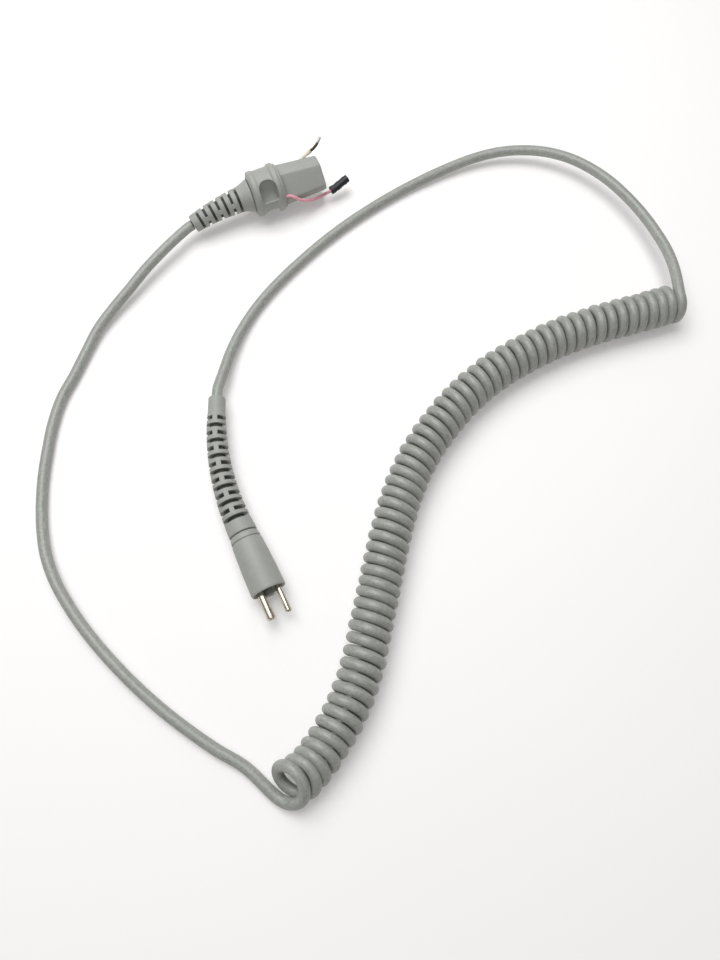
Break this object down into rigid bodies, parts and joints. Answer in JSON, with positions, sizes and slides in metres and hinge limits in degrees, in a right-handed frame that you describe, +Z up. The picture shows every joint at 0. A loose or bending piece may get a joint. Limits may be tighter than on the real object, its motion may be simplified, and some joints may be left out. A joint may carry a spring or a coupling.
{
  "type": "coiled dental handpiece cord set",
  "caption": "Coiled cord with a pin plug and slotted strain relief on one end and a moulded handpiece connector with loose leads on the other.",
  "frame": {"origin": "on the surface the cord set lies on, under the middle of the box around the plug and the handpiece end", "axes": "+Z up, -Y out of the plug along its contact pins, +X towards the coil's right-hand end and, within three degrees, into the handpiece"},
  "size_m": [0.2903, 0.2497, 0.021],
  "materials": {
    "plug_shell": "satin",
    "plug_contact_block": "matte",
    "contact_pin_large": "nickel plated",
    "contact_pin_small": "nickel plated",
    "solder_joint_large": "satin",
    "solder_joint_small": "satin",
    "plug_lead_pink": "satin",
    "plug_lead_clear": "satin",
    "plug_crimp_ferrule": "satin",
    "plug_boot": "matte",
    "cord_end_in_plug": "matte",
    "cord_plug_run": "matte",
    "cord_coil": "matte",
    "cord_tail_run": "matte",
    "cord_end_in_handpiece_boot": "matte",
    "handpiece_boot": "matte",
    "handpiece_crimp_ferrule": "satin",
    "handpiece_collar": "satin",
    "handpiece_tongue": "satin",
    "lead_pink": "satin",
    "heat_shrink_sleeve": "matte",
    "pink_lead_strands": "satin",
    "lead_clear": "gloss",
    "clear_lead_strands": "satin"
  },
  "bodies": {
    "cord": {"cord_plug_run": "cord_plug_run", "cord_coil": "cord_coil"},
    "plug": {"plug_shell": "plug_shell", "plug_contact_block": "plug_contact_block", "contact_pin_large": "contact_pin_large", "contact_pin_small": "contact_pin_small", "solder_joint_large": "solder_joint_large", "solder_joint_small": "solder_joint_small", "plug_lead_pink": "plug_lead_pink", "plug_lead_clear": "plug_lead_clear", "plug_crimp_ferrule": "plug_crimp_ferrule", "cord_end_in_plug": "cord_end_in_plug", "plug_boot": "plug_boot"},
    "tail": {"cord_tail_run": "cord_tail_run"},
    "handpiece_end": {"handpiece_boot": "handpiece_boot", "cord_end_in_handpiece_boot": "cord_end_in_handpiece_boot", "handpiece_crimp_ferrule": "handpiece_crimp_ferrule", "handpiece_collar": "handpiece_collar", "handpiece_tongue": "handpiece_tongue", "lead_pink": "lead_pink", "heat_shrink_sleeve": "heat_shrink_sleeve", "pink_lead_strands": "pink_lead_strands", "lead_clear": "lead_clear", "clear_lead_strands": "clear_lead_strands"}
  },
  "joints": [
    {"name": "plug_boot_flex", "type": "hinge", "parent": "cord", "child": "plug", "pos_m": [-0.0482, -0.0306, 0.00675], "axis": [0, 0, 1], "range_deg": [-45, 15], "stiffness_Nm_per_rad": 0.06, "deforming": ["plug_boot", "cord_end_in_plug"]},
    {"name": "coil_stretch", "type": "slide", "parent": "cord", "child": "tail", "axis": [-0.9646, -0.2637, 0], "range_m": [0, 0.6], "stiffness_N_per_m": 10, "deforming": ["cord_coil"]},
    {"name": "handpiece_boot_flex", "type": "hinge", "parent": "tail", "child": "handpiece_end", "pos_m": [-0.001, 0.0804, 0.0096], "axis": [0, 0, 1], "range_deg": [-5, 60], "stiffness_Nm_per_rad": 0.05, "deforming": ["handpiece_boot", "cord_end_in_handpiece_boot"]}
  ]
}
